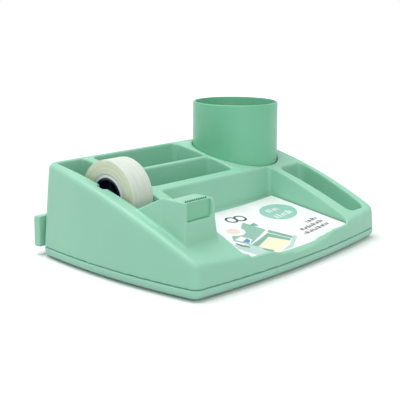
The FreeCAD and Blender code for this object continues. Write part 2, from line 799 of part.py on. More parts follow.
def feet():
    for label, place in foot_places().items():
        body = new_body(label)
        pad(body, draw_circle(new_sketch(body, "top"), place, dim("foot_radius")),
            dim("foot_proud") + dim("foot_sunk"))
        fillet(body, 0.4, lambda edge: edge.CenterOfMass.z < 0.01)


def base_screws():
    """Four countersunk-flat screws as one group: a head in the base plate and a shank into the housing."""
    parts = []
    head_low = dim("foot_proud") + dim("fit_gap")
    for x, y in screw_places():
        head = doc.addObject("Part::Cylinder", "screw_head")
        bind(head, "Radius", dim("screw_head"))
        bind(head, "Height", dim("screw_head_high"))
        shank = doc.addObject("Part::Cylinder", "screw_shank")
        bind(shank, "Radius", dim("screw_radius"))
        bind(shank, "Height", dim("screw_length"))
        place_at(head, x, y, head_low)
        place_at(shank, x, y, head_low)
        whole = doc.addObject("Part::Fuse", "screw")
        whole.Base = head
        whole.Tool = shank
        parts.append(whole)
    group = doc.addObject("Part::Compound", "base_screws_group")
    group.Links = parts
    group.Label = "base_screws"
    return group


def place_at(thing, x, y, z):
    thing.Placement = FreeCAD.Placement(FreeCAD.Vector(number(x), number(y), number(z)), FreeCAD.Rotation())
    for axis, size in (("x", x), ("y", y), ("z", z)):
        if isinstance(size, Size):
            thing.setExpression("Placement.Base." + axis, size.text)


# ---------------------------------------------------------------- drawer

def drawer():
    """One moulding: a shallow tray in the tunnel and a face as wide as the body behind it."""
    body = new_body("drawer")
    gap, wall = dim("drawer_gap"), dim("drawer_wall")
    half = dim("tunnel_half") - gap
    low = dim("housing_low") + dim("rail_proud") + dim("fit_gap")
    high = dim("tunnel_top") - gap
    front, face = dim("tunnel_front") + gap, dim("back_y") + dim("face_stand")
    pad(body, draw_box(new_sketch(body, "top", low), -half, front, half, face), high - low)
    inside = draw_box(new_sketch(body, "top", low + wall), wall - half, front + wall, half - wall,
                      face - dim("drawer_back_wall"))
    pocket(body, inside, high - low, reverse=True)
    face_half = dim("face_half")
    plate = draw_box(new_sketch(body, "front", -face), -face_half, dim("face_low"), face_half,
                     dim("face_top"))
    pad(body, plate, dim("face_thick"), reverse=True)
    outer = face + dim("face_thick")
    fillet(body, dim("face_round"), lambda edge: edge.CenterOfMass.y > number(outer) - 0.01)
    middle = (dim("face_low") + dim("face_top")) / 2
    pull = draw_box(new_sketch(body, "front", -outer), -dim("pull_width") / 2, middle - dim("pull_height") / 2,
                    dim("pull_width") / 2, middle + dim("pull_height") / 2)
    pocket(body, pull, dim("pull_depth"), reverse=True)
    return body


# ---------------------------------------------------------------- pen cup

def pen_cup():
    body = new_body("pen_cup")
    low, high = dim("socket_floor") + dim("fit_gap"), dim("cup_rim")
    place = (dim("cup_x"), dim("cup_y"))
    pad(body, draw_circle(new_sketch(body, "top", low), place, dim("cup_radius")), high - low)
    hollow = draw_circle(new_sketch(body, "top", low + dim("cup_wall")), place,
                         dim("cup_radius") - dim("cup_wall"))
    pocket(body, hollow, high - low, reverse=True)
    fillet(body, 0.8, lambda edge: edge.CenterOfMass.z > number(high) - 0.01)
    fillet(body, 2.0, lambda edge: edge.CenterOfMass.z < number(low) + 0.01)
    return body


# ---------------------------------------------------------------- cutter

def blade_holder():
    """The panel that fills the tower's recess and traps the blade behind it."""
    body = new_body("blade_holder")
    gap = dim("fit_gap")
    back = dim("tower_front") + dim("recess_depth") - dim("blade_thick") - gap
    low, high = dim("crease") + gap, dim("tower_top") - dim("holder_drop")
    sketch = draw_box(new_sketch(body, "front", -back), dim("recess_left") + gap, low,
                      dim("recess_right") - gap, high)
    pad(body, sketch, dim("holder_thick"))
    fillet(body, 0.5, lambda edge: edge.CenterOfMass.y < number(back - dim("holder_thick")) + 0.01)
    return body


def cutter_blade():
    """A thin steel strip behind the holder, with a row of teeth along its top."""
    body = new_body("cutter_blade")
    gap = dim("fit_gap")
    left, right = dim("recess_left") + gap * 3, dim("recess_right") - gap * 3
    low, tip = dim("crease") + 2, dim("tower_top") + dim("blade_rise")
    pitch, valley = dim("tooth_pitch"), tip - dim("tooth_depth")
    teeth = int((right.value - left.value) // pitch.value)
    edge = (right - left - pitch * teeth) / 2
    points = [(left, low), (right, low), (right, valley)]
    for index in range(teeth, 0, -1):
        start = left + edge + pitch * index
        points += [(start, valley), (start - pitch / 2, tip)]
    points += [(left + edge, valley), (left, valley)]
    back = dim("tower_front") + dim("recess_depth") - gap
    pad(body, draw_outline(new_sketch(body, "front", -back), points), dim("blade_thick") - gap)
    return body


# ---------------------------------------------------------------- tape roll, hub and axle

ROLL = (dim("roll_y"), dim("roll_z"))
BAY_MIDDLE = (dim("bay_left") + dim("bay_right")) / 2


def ring(body, start, length, outer, inner):
    """A tube along X about the roll's axis."""
    pad(body, draw_circle(new_sketch(body, "side", start), ROLL, outer), length)
    pocket(body, draw_circle(new_sketch(body, "side", start), ROLL, inner), length + 1, reverse=True)
    return body


def hub_half(label, side):
    """Half of the hub: a drum open to its own side, a web at the middle and a boss on the axle."""
    body = new_body(label)
    half = dim("tape_width") / 2
    outer = dim("core_inner") - dim("hub_gap")
    start = BAY_MIDDLE - half if side < 0 else BAY_MIDDLE
    bore = dim("axle_radius") + dim("axle_gap")
    pad(body, draw_circle(new_sketch(body, "side", start), ROLL, outer), half)
    hollow = new_sketch(body, "side", start if side < 0 else start + half)
    draw_circle(hollow, ROLL, outer - dim("hub_wall"))
    draw_circle(hollow, ROLL, dim("hub_boss"))
    pocket(body, hollow, half - dim("hub_web"), reverse=side < 0)
    pocket(body, draw_circle(new_sketch(body, "side", start), ROLL, bore), half + 1, reverse=True)
    return body


def tape():
    half = dim("tape_width") / 2
    ring(new_body("tape_core"), BAY_MIDDLE - half, dim("tape_width"), dim("core_outer"), dim("core_inner"))
    ring(new_body("tape_roll"), BAY_MIDDLE - half, dim("tape_width"), dim("roll_radius"),
         dim("core_outer") + dim("core_gap"))
    hub_half("tape_hub_left", -1)
    hub_half("tape_hub_right", 1)
    axle = new_body("hub_axle")
    tip = dim("axle_tip")
    left, right = dim("bay_left") - tip, dim("bay_right") + tip
    pad(axle, draw_circle(new_sketch(axle, "side", left), ROLL, dim("axle_radius")), right - left)
    fillet(axle, 0.5, lambda edge: len(edge.Vertexes) == 1)


# ---------------------------------------------------------------- card

def insert_card():
    """A card lying on the note tray's sloping floor, its front edge bowed like the wall before it."""
    run = dim("note_back") - dim("note_front")
    rise = dim("note_floor_back") - dim("note_floor_front")
    slope = root(run * run + rise * rise)
    tilt = math.degrees(math.atan2(rise.value, run.value))
    half = (dim("note_right") - dim("note_left")) / 2 - dim("card_side_gap")
    front, back = dim("card_front_gap"), slope - dim("card_back_gap")
    body = new_body("insert_card")
    corners = [(-half, front), (half, front), (half, back), (-half, back)]
    sheet_outline = draw_outline(new_sketch(body, "top"), corners, {0: (dim("front_bow"), -1)})
    pad(body, sheet_outline, dim("card_thick"))
    lean = FreeCAD.Rotation(FreeCAD.Vector(1, 0, 0), tilt)
    corner = FreeCAD.Vector(number((dim("note_left") + dim("note_right")) / 2), number(dim("note_front")),
                            number(dim("note_floor_front")))
    lift = lean.multVec(FreeCAD.Vector(0, 0, number(dim("card_gap"))))
    body.Placement = FreeCAD.Placement(corner + lift, lean)
    return body


def parts_of_the_organizer():
    top_housing()
    base_plate()
    feet()
    base_screws()
    drawer()
    pen_cup()
    blade_holder()
    cutter_blade()
    tape()
    insert_card()
    doc.recompute()
    return [item for item in doc.Objects
            if item.isDerivedFrom("PartDesign::Body") or item.Label == "base_screws"]


sub_parts = parts_of_the_organizer()

for item in doc.Objects:
    if "Invalid" in item.State or "Error" in item.State:
        raise RuntimeError("%s failed: %s" % (item.Label, item.State))
for item in sub_parts:
    if item.Shape.isNull() or not item.Shape.isValid():
        raise RuntimeError("%s has no valid shape" % item.Label)

os.makedirs("parts", exist_ok=True)
for item in sub_parts:
    print(item.Label, len(item.Shape.Solids), round(item.Shape.Volume), item.Shape.BoundBox)
    item.Shape.exportStep("parts/%s.step" % item.Label)
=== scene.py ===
# %% [markdown]
# # A desk organizer with a tape dispenser
# The real object is a low wedge of pastel green plastic. It has a tape roll in a bay on the left, a note
# tray in front, two small compartments behind, a pen channel on the right, a round pen cup and a shallow
# drawer at the back. The packed solids give every shape and place, and this lesson gives them their looks.

# %% Load the solids
import math

import bmesh
import bpy
from mathutils import Matrix, Vector


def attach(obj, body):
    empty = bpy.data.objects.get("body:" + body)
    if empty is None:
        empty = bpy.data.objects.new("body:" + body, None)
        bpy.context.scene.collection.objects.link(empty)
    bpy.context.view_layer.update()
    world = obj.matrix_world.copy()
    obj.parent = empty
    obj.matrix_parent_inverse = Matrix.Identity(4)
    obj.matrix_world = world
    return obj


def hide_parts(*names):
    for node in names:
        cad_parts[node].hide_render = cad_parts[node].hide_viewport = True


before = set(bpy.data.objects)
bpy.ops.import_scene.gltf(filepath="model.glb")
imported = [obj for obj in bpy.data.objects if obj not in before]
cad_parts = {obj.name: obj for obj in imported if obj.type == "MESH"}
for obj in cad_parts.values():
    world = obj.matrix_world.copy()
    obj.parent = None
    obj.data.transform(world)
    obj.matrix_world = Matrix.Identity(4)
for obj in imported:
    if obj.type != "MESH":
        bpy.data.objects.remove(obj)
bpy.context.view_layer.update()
MM = 0.001

# %% [markdown]
# ## Camera
# The organizer is looked at from its front left corner, from just above its rim. A long lens keeps the
# sides from splaying. The camera's axes are written out as a matrix, so that its small roll is exact.

# %% Camera
CAMERA_PLACE = Vector((-461.4, -392.6, 174.2)) * MM
CAMERA_TURN, CAMERA_PITCH, CAMERA_ROLL = (math.radians(angle) for angle in (-48.6, 9.05, 0.41))
SENSOR_WIDTH, LENS_LENGTH, LENS_SHIFT = 36, 77.8, -0.15


def camera_axes(turn, pitch, roll):
    """Right, up and forward directions of a camera that looks along +Y when turn is 0."""
    forward = Vector((-math.sin(turn) * math.cos(pitch), math.cos(turn) * math.cos(pitch), -math.sin(pitch)))
    right = forward.cross(Vector((0, 0, 1))).normalized()
    up = right.cross(forward)
    rolled_right = right * math.cos(roll) + up * math.sin(roll)
    rolled_up = up * math.cos(roll) - right * math.sin(roll)
    return rolled_right, rolled_up, forward


def add_camera():
    camera = bpy.data.objects.new("camera", bpy.data.cameras.new("camera"))
    bpy.context.collection.objects.link(camera)
    right, up, forward = camera_axes(CAMERA_TURN, CAMERA_PITCH, CAMERA_ROLL)
    turned = Matrix((right, up, -forward)).transposed().to_4x4()
    camera.matrix_world = Matrix.Translation(CAMERA_PLACE) @ turned
    camera.data.sensor_width, camera.data.lens = SENSOR_WIDTH, LENS_LENGTH
    camera.data.shift_y = LENS_SHIFT
    camera.data.clip_start, camera.data.clip_end = 0.02, 20
    bpy.context.scene.camera = camera
    return camera


camera = add_camera()
bpy.context.scene.view_settings.view_transform = "Standard"
print("camera at", tuple(round(value, 3) for value in camera.location))

# %% [markdown]
# ## Colours and node helpers
# Colours are noted as the eye reads them, from 0 to 255, and turned into the linear numbers that a shader
# works with. A small class holds one material and adds its nodes by name, which keeps every recipe short.

# %% Colours
def eye_colour(red, green, blue):
    """A colour as a screen shows it, turned into the linear values of a shader."""
    return tuple((value / 255 / 12.92) if value < 10.3 else ((value / 255 + 0.055) / 1.055) ** 2.4
                 for value in (red, green, blue)) + (1.0,)


def tinted(colour, share):
    """The same colour, lighter or darker by a share."""
    return tuple(min(value * (1 + share), 1.0) for value in colour[:3]) + (1.0,)


print("mid grey reads as", round(eye_colour(128, 128, 128)[0], 3))


# %% Node helper
class Finish:
    """One material and the nodes that are added to it."""

    def __init__(self, name):
        self.material = bpy.data.materials.new(name)
        self.material.use_nodes = True
        self.tree = self.material.node_tree
        self.shader = self.tree.nodes["Principled BSDF"]

    def add(self, kind, **inputs):
        node = self.tree.nodes.new("ShaderNode" + kind)
        for key, value in inputs.items():
            self.give(node, key.replace("_", " "), value)
        return node

    def give(self, node, key, value):
        """Feed an input, given by name or number, from another node or with a plain value."""
        socket = node.inputs[key]
        if isinstance(value, bpy.types.NodeSocket):
            self.tree.links.new(value, socket)
        else:
            socket.default_value = value

    def set(self, key, value):
        self.give(self.shader, key, value)

    def place(self):
        """Position on the piece, in metres."""
        return self.add("TexCoord").outputs["Object"]

    def noise(self, scale, detail=2.0, where=None):
        return self.add("TexNoise", Vector=where or self.place(), Scale=scale, Detail=detail).outputs["Fac"]

    def spread(self, value, low, high, start=0.3, stop=0.7):
        """Stretch a noise value to run from low to high."""
        node = self.add("MapRange")
        for key, amount in zip(("Value", "From Min", "From Max", "To Min", "To Max"),
                               (value, start, stop, low, high)):
            self.give(node, key, amount)
        return node.outputs["Result"]

    def blend(self, amount, first, second):
        """Mix two colours by an amount from 0 to 1."""
        node = self.add("Mix")
        node.data_type = "RGBA"
        for index, value in ((0, amount), (6, first), (7, second)):
            self.give(node, index, value)
        return node.outputs[2]

    def maths(self, operation, *values):
        node = self.add("Math")
        node.operation = operation
        for index, value in enumerate(values):
            self.give(node, index, value)
        return node.outputs[0]

    def bump(self, height, distance, strength=1.0):
        node = self.add("Bump", Height=height, Distance=distance, Strength=strength)
        self.set("Normal", node.outputs["Normal"])


print("node helpers:", [word for word in vars(Finish) if not word.startswith("_")])

# %% [markdown]
# ## Moulded plastic
# The body, base, drawer and cup are injection moulded, with a satin skin. Such plastic is never one flat
# colour: the pigment swirls a little, the polish varies and a fine spark texture breaks up the highlights.
# The edges also get a painted highlight: they are made paler where the mesh is pointed. Noise gives the
# first three and the mesh's own pointiness gives the painted highlight, so all four come from nodes and
# fit a piece of any shape.

# %% Moulded plastic
SWIRL_SCALE, POLISH_SCALE, SPARK_SCALE = 16, 90, 2600
# The edge numbers set a painted highlight: pointed edges are made paler, as if they caught the light.
EDGE_FROM, EDGE_TO, EDGE_HIGHLIGHT_SHARE, EDGE_HIGHLIGHT_PALER = 0.53, 0.62, 0.1, 0.22
PLASTIC_IOR = 1.49


def moulded_plastic(name, colour, rough=0.40, swirl=0.035, grain=0.000012):
    finish = Finish(name)
    cloud = finish.noise(SWIRL_SCALE, 3.0)
    pigment = finish.blend(finish.spread(cloud, 0, 1), tinted(colour, -swirl), tinted(colour, swirl))
    pointed = finish.add("NewGeometry").outputs["Pointiness"]
    # Painted highlight: where the mesh is pointed, the colour is blended towards a paler green.
    edge = finish.spread(pointed, 0, EDGE_HIGHLIGHT_SHARE, EDGE_FROM, EDGE_TO)
    finish.set("Base Color", finish.blend(edge, pigment, tinted(colour, EDGE_HIGHLIGHT_PALER)))
    finish.set("Roughness", finish.spread(finish.noise(POLISH_SCALE), rough - 0.04, rough + 0.05))
    finish.bump(finish.noise(SPARK_SCALE, 3.0), grain, 0.6)
    finish.set("IOR", PLASTIC_IOR)
    return finish.material


housing_green = moulded_plastic("housing_green", eye_colour(146, 204, 178))
base_green = moulded_plastic("base_green", eye_colour(152, 206, 186))
drawer_green = moulded_plastic("drawer_green", eye_colour(148, 205, 181))
# The cup is likely of the body's plastic; its darker, deeper green is painted shade, not a colour of its own.
cup_green = moulded_plastic("cup_green", eye_colour(116, 192, 156))
holder_green = moulded_plastic("holder_green", eye_colour(124, 194, 157))
greens = (housing_green, base_green, drawer_green, cup_green, holder_green)
print("greens:", [green.name for green in greens])

# %% [markdown]
# ## Softened mouldings
# A moulding has no knife-sharp edges: the tool's corners are rounded by about a millimetre, inside and
# out. A bevel would do for a plain box, but this body has many pockets that meet a curved deck. So the
# solid is copied, rebuilt from small voxels and then relaxed, which rounds every edge alike, and thinned
# where it is flat.

# %% Hang a mesh on its body
def put(name, mesh, body, materials, stands_for=()):
    """Hang a finished mesh on its body."""
    piece = bpy.data.objects.new(name, mesh)
    bpy.context.collection.objects.link(piece)
    for material in materials:
        mesh.materials.append(material)
    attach(piece, body)
    if stands_for:
        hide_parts(*stands_for)
    return piece


print("nodes to dress:", len(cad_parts))

# %% Softened copies of the solids
SAME_PLACE = 0.000002


def softened(node, name, body, material, voxel, relax, keep):
    """A copy of a solid, rebuilt from voxels, relaxed a few times and thinned to a share of its faces."""
    draft = bpy.data.objects.new(name + "_draft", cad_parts[node].data.copy())
    bpy.context.collection.objects.link(draft)
    weld = draft.modifiers.new("weld", "WELD")
    weld.merge_threshold = SAME_PLACE
    remesh = draft.modifiers.new("voxels", "REMESH")
    remesh.mode = "VOXEL"
    remesh.voxel_size = voxel
    smooth = draft.modifiers.new("relax", "SMOOTH")
    smooth.factor, smooth.iterations = 0.5, relax
    thin = draft.modifiers.new("thin", "DECIMATE")
    thin.ratio = keep
    shape = draft.evaluated_get(bpy.context.evaluated_depsgraph_get())
    mesh = bpy.data.meshes.new_from_object(shape)
    bpy.data.objects.remove(draft)
    mesh.name = name
    mesh.materials.clear()
    mesh.shade_smooth()
    print(name, "has", len(mesh.polygons), "faces")
    return put(name, mesh, body, [material], [node])


softened("top_housing", "housing", "body", housing_green, voxel=0.0008, relax=6, keep=0.35)
softened("base_plate", "base", "body", base_green, voxel=0.0008, relax=4, keep=0.3)
softened("drawer", "drawer_tray", "drawer", drawer_green, voxel=0.0007, relax=4, keep=0.3)
softened("blade_holder", "holder", "body", holder_green, voxel=0.0003, relax=4, keep=0.5)

# %% [markdown]
# ## Turned pieces
# The cup, the roll, its core, the hub, the pin and the feet are all round. Each could start as a cylinder
# with bevels, but a profile swept about an axis carries every step, groove and rounded rim at once. A
# profile is a list of radius and height pairs, and a helper rounds its corners before the sweep.

# %% Rounded profiles
def rounded(points, radii, steps=5):
    """Replace each corner of a closed profile with a small arc."""
    result = []
    count = len(points)
    for index in range(count):
        here = Vector(points[index])
        radius = radii[index] if isinstance(radii, (list, tuple)) else radii
        before = Vector(points[index - 1]) - here
        after = Vector(points[(index + 1) % count]) - here
        reach = min(radius, before.length * 0.45, after.length * 0.45)
        if reach <= 0:
            result.append(here)
            continue
        start, stop = here + before.normalized() * reach, here + after.normalized() * reach
        for step in range(steps + 1):
            share = step / steps
            result.append(start * (1 - share) ** 2 + here * 2 * share * (1 - share) + stop * share ** 2)
    return result


print("a rounded square has", len(rounded([(0, 0), (1, 0), (1, 1), (0, 1)], 0.2)), "points")

# %% Profiles swept about an axis
SWEEP_STEPS = 128


def turned(profile, centre, axis="Z", steps=SWEEP_STEPS):
    """Sweep a closed profile of radius and height pairs about an axis through centre."""
    form = bmesh.new()
    rings = []
    for step in range(steps):
        angle = 2 * math.pi * step / steps
        across, aside = math.cos(angle), math.sin(angle)
        ring = []
        for radius, height in profile:
            if axis == "Z":
                spot = Vector((radius * across, radius * aside, height))
            else:
                spot = Vector((height, radius * across, radius * aside))
            ring.append(form.verts.new(spot * MM + Vector(centre) * MM))
        rings.append(ring)
    for step in range(steps):
        here, there = rings[step], rings[(step + 1) % steps]
        for index in range(len(profile)):
            following = (index + 1) % len(profile)
            form.faces.new((here[index], there[index], there[following], here[following]))
    bmesh.ops.remove_doubles(form, verts=form.verts, dist=1e-7)
    bmesh.ops.recalc_face_normals(form, faces=form.faces)
    return form


def mesh_of(form, name, sharp=35):
    """A smooth mesh that keeps only the edges sharper than an angle in degrees."""
    mesh = bpy.data.meshes.new(name)
    form.to_mesh(mesh)
    form.free()
    mesh.shade_smooth()
    mesh.set_sharp_from_angle(angle=math.radians(sharp))
    return mesh


print("a sweep turns", 360 / SWEEP_STEPS, "degrees a step")

# %% [markdown]
# ## Pen cup
# The cup is a plain tube with a floor, and it stands loose in a round socket. A cylinder could be given a
# wall with a modifier, but a drawn profile gives the rim, the foot and the floor each a radius of its own.
# The rim is fully rounded, and the foot's radius makes a thin line of shade where the cup meets the deck.

# %% Pen cup
CUP_CENTRE = (62.6, 32.7, 0)
CUP_RADIUS, CUP_WALL, CUP_LOW, CUP_HIGH = 33.3, 2.0, 22.1, 98.2
FOOT_RING, FOOT_LIP, FOOT_RISE = 6, 0.5, 0.6


def cup_profile():
    inner = CUP_RADIUS - CUP_WALL
    floor = CUP_LOW + CUP_WALL
    ring, under = CUP_RADIUS - FOOT_RING, CUP_LOW + FOOT_RISE
    points = [(0, under), (ring, under), (ring - FOOT_LIP, CUP_LOW), (CUP_RADIUS, CUP_LOW),
              (CUP_RADIUS, CUP_HIGH), (inner, CUP_HIGH), (inner, floor), (0, floor)]
    return rounded(points, [0, 0.3, 0.3, 2.2, 0.9, 0.9, 3.0, 0])


cup_mesh = mesh_of(turned(cup_profile(), CUP_CENTRE, steps=160), "cup")
cup = put("cup", cup_mesh, "cup", [cup_green], ["pen_cup"])
print("cup faces:", len(cup.data.polygons))

# %% [markdown]
# ## Tape roll
# Clear tape looks cream from the side, because the light passes through hundreds of glued layers, and
# milky from outside. Its wound edge shows fine rings. They are too fine to model, and a noise that is read
# by distance from the axis gives them at once: it changes from ring to ring and never along one.

# %% Tape roll finish
ROLL_AXIS = (-79.7, 16.3, 48.5)
ROLL_HALF, ROLL_RADIUS, CORE_RADIUS, BORE_RADIUS = 9.0, 24.4, 16.2, 12.7
RING_SCALE, BAND_SCALE, STREAK_SCALE = 5200, 420, (900, 60, 60)
RIM_FROM, RIM_TO = 0.0237, 0.0243


def distance_from_axis(finish):
    """How far a point of the piece lies from the roll's axis, in metres."""
    parts = finish.add("SeparateXYZ", Vector=finish.place())
    squares = []
    for axis_name, offset in zip("YZ", ROLL_AXIS[1:]):
        shift = finish.maths("SUBTRACT", parts.outputs[axis_name], offset * MM)
        squares.append(finish.maths("POWER", shift, 2.0))
    return finish.maths("SQRT", finish.maths("ADD", *squares))


def wound_tape():
    finish = Finish("wound_tape")
    reach = distance_from_axis(finish)
    line = finish.add("CombineXYZ", X=reach)
    rings = finish.noise(RING_SCALE, 2.0, line.outputs[0])
    broad = finish.noise(BAND_SCALE, 2.0, line.outputs[0])
    cream, milk = eye_colour(236, 240, 208), eye_colour(204, 220, 188)
    body = finish.blend(finish.spread(broad, 0, 1), cream, milk)
    layers = finish.blend(finish.spread(rings, 0, 0.45), body, eye_colour(245, 246, 236))
    rim = finish.spread(reach, 0, 1, RIM_FROM, RIM_TO)
    stretch = finish.add("Mapping", Vector=finish.place(), Scale=STREAK_SCALE)
    streaks = finish.spread(finish.noise(1.0, 3.0, stretch.outputs["Vector"]), 0, 1)
    outside = finish.blend(streaks, eye_colour(222, 236, 222), eye_colour(242, 247, 238))
    finish.set("Base Color", finish.blend(rim, layers, outside))
    finish.set("Roughness", finish.spread(rings, 0.16, 0.34))
    finish.set("Transmission Weight", 0.22)
    finish.set("Subsurface Weight", 0.35)
    finish.set("Subsurface Radius", (1.0, 0.9, 0.7))
    finish.set("Subsurface Scale", 0.004)
    finish.set("IOR", 1.47)
    finish.bump(rings, 0.00003, 0.5)
    return finish.material


tape_finish = wound_tape()
print("tape finish has", len(tape_finish.node_tree.nodes), "nodes")

# %% [markdown]
# ## The roll's form
# The wound layers are never quite level, so the flat sides of the roll are not one plane but a row of rings
# that stand a few hundredths of a millimetre higher or lower. Two waves of different length set the heights,
# which looks irregular and still gives the same roll each time.

# %% Tape roll
SIDE_STEPS, SIDE_BACK, CORE_GAP, ROLL_EDGE = 14, 0.08, 0.05, 0.3
WAVES = ((0.05, 2.3), (0.03, 5.1))


def layered_side(inner, outer, side, rings):
    """Points of one flat side with shallow steps, as wound layers have."""
    points = []
    for index in range(rings + 1):
        radius = inner + (outer - inner) * index / rings
        proud = sum(height * math.sin(index * turn) for height, turn in WAVES)
        points.append((radius, side * (ROLL_HALF - SIDE_BACK + proud)))
    return points


def roll_profile():
    inner, outer = CORE_RADIUS + CORE_GAP, ROLL_RADIUS - 0.25
    left, right = (layered_side(inner, outer, side, SIDE_STEPS) for side in (-1, 1))
    outside = [(ROLL_RADIUS, side * (ROLL_HALF - ROLL_EDGE)) for side in (-1, 1)]
    return left + outside + right[::-1]


roll_mesh = mesh_of(turned(roll_profile(), ROLL_AXIS, "X", 160), "roll")
roll = put("roll", roll_mesh, "tape", [tape_finish], ["tape_roll"])
print("roll faces:", len(roll.data.polygons))

# %% [markdown]
# ## The roll's core
# The tape is wound on a light grey moulded ring. A shallow groove runs round each end of it, which shows as
# two thin lines beside the dark hub. The ring is one more swept profile, with the groove drawn into it.

# %% Core
core_grey = moulded_plastic("core_grey", eye_colour(206, 211, 209), 0.36, 0.02)
GROOVE_DEPTH = 0.5
GROOVE_RADII = (13.6, 13.9, 15.0, 15.3)
CORE_BACK, CORE_ROUND = 0.02, 0.18


def core_profile():
    half = ROLL_HALF - CORE_BACK
    depths = (0, GROOVE_DEPTH, GROOVE_DEPTH, 0)
    groove = [(radius, half - depth) for radius, depth in zip(GROOVE_RADII, depths)]
    left = [(BORE_RADIUS, -half)] + [(radius, -height) for radius, height in groove] + [(CORE_RADIUS, -half)]
    right = [(CORE_RADIUS, half)] + groove[::-1] + [(BORE_RADIUS, half)]
    return rounded(left + right, CORE_ROUND, 2)


core_mesh = mesh_of(turned(core_profile(), ROLL_AXIS, "X", 128), "core")
core = put("core", core_mesh, "tape", [core_grey], ["tape_core"])
print("core faces:", len(core.data.polygons))

# %% [markdown]
# ## Hub and pin
# The roll sits on a dark two-part hub that turns on a pin. Each half is a drum with a web at the middle, a
# boss on the pin and six ribs between them. The drum, web and boss are one swept profile. A boolean could
# join the ribs to it, but small blocks that are sunk a little into the boss and the drum look the same.

# %% Hub halves
hub_navy = moulded_plastic("hub_navy", eye_colour(26, 29, 50), 0.32, 0.06)
axle_grey = moulded_plastic("axle_grey", eye_colour(58, 62, 70), 0.38, 0.04)
HUB_RADIUS, HUB_WALL, HUB_WEB, HUB_BOSS, HUB_BORE = 12.62, 1.5, 1.6, 5.2, 3.08
HALF_GAP, BOSS_BACK = 0.02, 0.6
RIB_SINK, RIB_HALF, RIB_DEEP = 0.2, 0.5, 6.4


def hub_profile(side):
    """Half of the hub, from its web at the middle out to its open side."""
    drum, boss_end = HUB_RADIUS - HUB_WALL, ROLL_HALF - BOSS_BACK
    points = [(HUB_BORE, HALF_GAP), (HUB_RADIUS, HALF_GAP), (HUB_RADIUS, ROLL_HALF), (drum, ROLL_HALF),
              (drum, HUB_WEB), (HUB_BOSS, HUB_WEB), (HUB_BOSS, boss_end), (HUB_BORE, boss_end)]
    return rounded([(radius, side * height) for radius, height in points], 0.3, 3)


def hub_ribs(form, side, count=6):
    """Small blocks between the boss and the drum, sunk a little into both."""
    inner, outer = HUB_BOSS - RIB_SINK, HUB_RADIUS - HUB_WALL + RIB_SINK
    for index in range(count):
        angle = 2 * math.pi * (index + 0.5) / count
        out = Vector((0, math.cos(angle), math.sin(angle)))
        across = Vector((0, -math.sin(angle), math.cos(angle)))
        corners = []
        for height in (HUB_WEB - RIB_SINK, RIB_DEEP):
            for reach, share in ((inner, -1), (outer, -1), (outer, 1), (inner, 1)):
                spot = out * reach + across * share * RIB_HALF + Vector((side * height, 0, 0))
                corners.append(form.verts.new((spot + Vector(ROLL_AXIS)) * MM))
        for face in ((0, 1, 2, 3), (7, 6, 5, 4), (0, 4, 5, 1), (1, 5, 6, 2), (2, 6, 7, 3), (3, 7, 4, 0)):
            form.faces.new([corners[corner] for corner in face])


def add_hub_half(name, node, side):
    form = turned(hub_profile(side), ROLL_AXIS, "X", 96)
    hub_ribs(form, side)
    bmesh.ops.recalc_face_normals(form, faces=form.faces)
    return put(name, mesh_of(form, name), "tape", [hub_navy], [node])


for hub_name, hub_node, hub_side in (("hub_left", "tape_hub_left", -1), ("hub_right", "tape_hub_right", 1)):
    hub_half = add_hub_half(hub_name, hub_node, hub_side)
    print(hub_name, "faces:", len(hub_half.data.polygons))

# %% Pin
PIN_HALF, PIN_RADIUS, PIN_ROUND = 14.8, 3.0, 0.7


def pin_profile():
    points = [(0, -PIN_HALF), (PIN_RADIUS, -PIN_HALF), (PIN_RADIUS, PIN_HALF), (0, PIN_HALF)]
    return rounded(points, [0, PIN_ROUND, PIN_ROUND, 0], 4)


pin_mesh = mesh_of(turned(pin_profile(), ROLL_AXIS, "X", 48), "pin")
pin = put("pin", pin_mesh, "axle", [axle_grey], ["hub_axle"])
print("pin faces:", len(pin.data.polygons))

# %% [markdown]
# ## Blade
# The cutter is a thin strip of steel with a row of teeth. The solid already has every tooth, so it stays as
# it is and gets a brushed finish: noise stretched along the strip gives the fine scratches.

# %% Blade and screw steel
SCRATCH_SCALE = (60, 900, 3000)


def brushed_steel(name, colour, rough):
    finish = Finish(name)
    stretch = finish.add("Mapping", Vector=finish.place(), Scale=SCRATCH_SCALE)
    scratch = finish.noise(1.0, 4.0, stretch.outputs["Vector"])
    finish.set("Base Color", finish.blend(finish.spread(scratch, 0, 1), tinted(colour, -0.15), colour))
    finish.set("Metallic", 1.0)
    finish.set("Roughness", finish.spread(scratch, rough - 0.08, rough + 0.1))
    finish.bump(scratch, 0.00001, 0.4)
    return finish.material


blade_steel = brushed_steel("blade_steel", eye_colour(120, 138, 130), 0.34)
screw_steel = brushed_steel("screw_steel", eye_colour(176, 178, 180), 0.3)
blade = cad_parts["cutter_blade"]
blade.data.materials.clear()
blade.data.materials.append(blade_steel)
print("blade faces:", len(blade.data.polygons))

# %% [markdown]
# ## Feet
# Four soft pads under the base keep the organizer from sliding. A plain disc would do from far off, but a
# moulded pad has a rounded edge and a shallow dish, and a swept profile has room for both. The rubber is
# dark and dull, with a fine pitted skin.

# %% Feet
FOOT_PLACES = {"foot_front_left": (-82, -56), "foot_front_right": (82, -56),
               "foot_rear_left": (-82, 58), "foot_rear_right": (82, 58)}
FOOT_RADIUS, FOOT_HEIGHT = 6.5, 1.6
DISH_RADIUS, DISH_SLOPE, DISH_DEPTH = 5.0, 0.4, 0.25


def soft_rubber():
    finish = Finish("foot_rubber")
    colour = eye_colour(62, 66, 66)
    cloud = finish.noise(300, 4.0)
    tone = finish.blend(finish.spread(cloud, 0, 1), tinted(colour, -0.2), tinted(colour, 0.2))
    finish.set("Base Color", tone)
    finish.set("Roughness", finish.spread(cloud, 0.7, 0.86))
    finish.bump(finish.noise(1800, 2.0), 0.00006, 0.7)
    return finish.material


